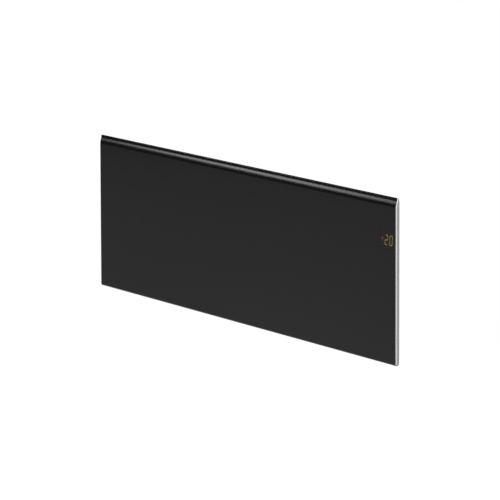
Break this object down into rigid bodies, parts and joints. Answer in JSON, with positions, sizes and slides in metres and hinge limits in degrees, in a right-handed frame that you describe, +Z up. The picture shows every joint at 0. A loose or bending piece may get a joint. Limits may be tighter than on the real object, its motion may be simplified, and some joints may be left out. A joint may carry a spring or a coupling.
{
  "type": "electric panel heater",
  "caption": "Slim wide wall-hung electric panel heater with a black rolled-top front, bare metal end strips, a lit digit display, rear casing and a tilting wall bracket.",
  "frame": {"origin": "middle of the wall bracket's four screw holes, on the wall plane", "axes": "+X to the right seen from the room, +Y into the wall, +Z up"},
  "size_m": [1.396, 0.084, 0.37],
  "materials": {
    "black_powder_coat": "fine matt powder coat",
    "brushed_aluminium": "satin brushed",
    "extruded_aluminium": "mill finish",
    "smoked_window": "smoked, satin front",
    "display_block": "matt, with lit segments",
    "galvanised_sheet": "galvanised",
    "casing_powder_coat": "matt powder coat",
    "bracket_powder_coat": "matt powder coat",
    "zinc_plated_steel": "bright zinc",
    "spring_steel": "bright",
    "element_sheath": "stainless, heat tinted",
    "plated_tabs": "tin plated",
    "ceramic": "unglazed",
    "cutout_case": "moulded",
    "black_plastic": "fine moulded grain",
    "rocker_plastic": "satin",
    "key_plastic": "satin",
    "circuit_board": "solder mask",
    "relay_case": "moulded",
    "small_switches": "moulded",
    "white_nylon": "moulded",
    "brass": "bare",
    "gasket_foam": "closed-cell foam",
    "grommet_rubber": "matt",
    "brown_lead": "silicone",
    "blue_lead": "silicone",
    "earth_lead": "silicone"
  },
  "bodies": {
    "wall_bracket": {"bracket_upright_left": "bracket_powder_coat", "bracket_upright_right": "bracket_powder_coat", "bracket_rail_top": "bracket_powder_coat", "bracket_rail_bottom": "bracket_powder_coat", "bracket_rivets": "zinc_plated_steel", "latch_spring_left": "spring_steel", "latch_spring_right": "spring_steel"},
    "heater": {"front_panel": "black_powder_coat", "end_strip_left": "brushed_aluminium", "end_strip_right": "brushed_aluminium", "element_fins": "extruded_aluminium", "display_window": "smoked_window", "display_module": "display_block", "heat_shield": "galvanised_sheet", "back_plate": "galvanised_sheet", "element_bracket_left": "galvanised_sheet", "element_bracket_right": "galvanised_sheet", "cutout_bracket": "galvanised_sheet", "top_grille": "casing_powder_coat", "bottom_grille": "casing_powder_coat", "side_plate_left": "casing_powder_coat", "side_plate_right": "casing_powder_coat", "casing_rivets": "zinc_plated_steel", "shield_rivets": "zinc_plated_steel", "board_screws": "zinc_plated_steel", "housing_screws": "zinc_plated_steel", "pivot_bracket_left": "zinc_plated_steel", "pivot_bracket_right": "zinc_plated_steel", "pivot_pins": "zinc_plated_steel", "latch_studs": "zinc_plated_steel", "element_rod": "element_sheath", "element_terminals": "plated_tabs", "switch_tabs": "plated_tabs", "element_bushes": "ceramic", "thermal_cutout": "cutout_case", "control_housing": "black_plastic", "switch_body": "black_plastic", "gland_body": "black_plastic", "gland_cap": "black_plastic", "gland_nut": "black_plastic", "control_board": "circuit_board", "power_relay": "relay_case", "tact_switches": "small_switches", "room_sensor": "small_switches", "terminal_block": "white_nylon", "board_connector": "white_nylon", "lead_clips": "white_nylon", "terminal_screws": "brass", "earth_terminal": "brass", "window_gasket": "gasket_foam", "lead_grommet": "grommet_rubber", "live_leads": "brown_lead", "neutral_lead": "blue_lead", "earth_lead": "earth_lead"},
    "key_minus": {"key_minus": "key_plastic"},
    "key_mode": {"key_mode": "key_plastic"},
    "key_plus": {"key_plus": "key_plastic"},
    "rocker": {"switch_rocker": "rocker_plastic"}
  },
  "joints": [
    {"name": "tilt_forward", "type": "hinge", "parent": "wall_bracket", "child": "heater", "pos_m": [0, -0.013, -0.135], "axis": [1, 0, 0], "range_deg": [0, 25], "deforming": ["latch_spring_left", "latch_spring_right"]},
    {"name": "key_minus_press", "type": "slide", "parent": "heater", "child": "key_minus", "axis": [0, 0, -1], "range_m": [0, 0.0012], "stiffness_N_per_m": 900},
    {"name": "key_mode_press", "type": "slide", "parent": "heater", "child": "key_mode", "axis": [0, 0, -1], "range_m": [0, 0.0012], "stiffness_N_per_m": 900},
    {"name": "key_plus_press", "type": "slide", "parent": "heater", "child": "key_plus", "axis": [0, 0, -1], "range_m": [0, 0.0012], "stiffness_N_per_m": 900},
    {"name": "rocker_switch", "type": "hinge", "parent": "heater", "child": "rocker", "pos_m": [0.597, -0.05, -0.095], "axis": [0, 1, 0], "range_deg": [0, 20]}
  ]
}
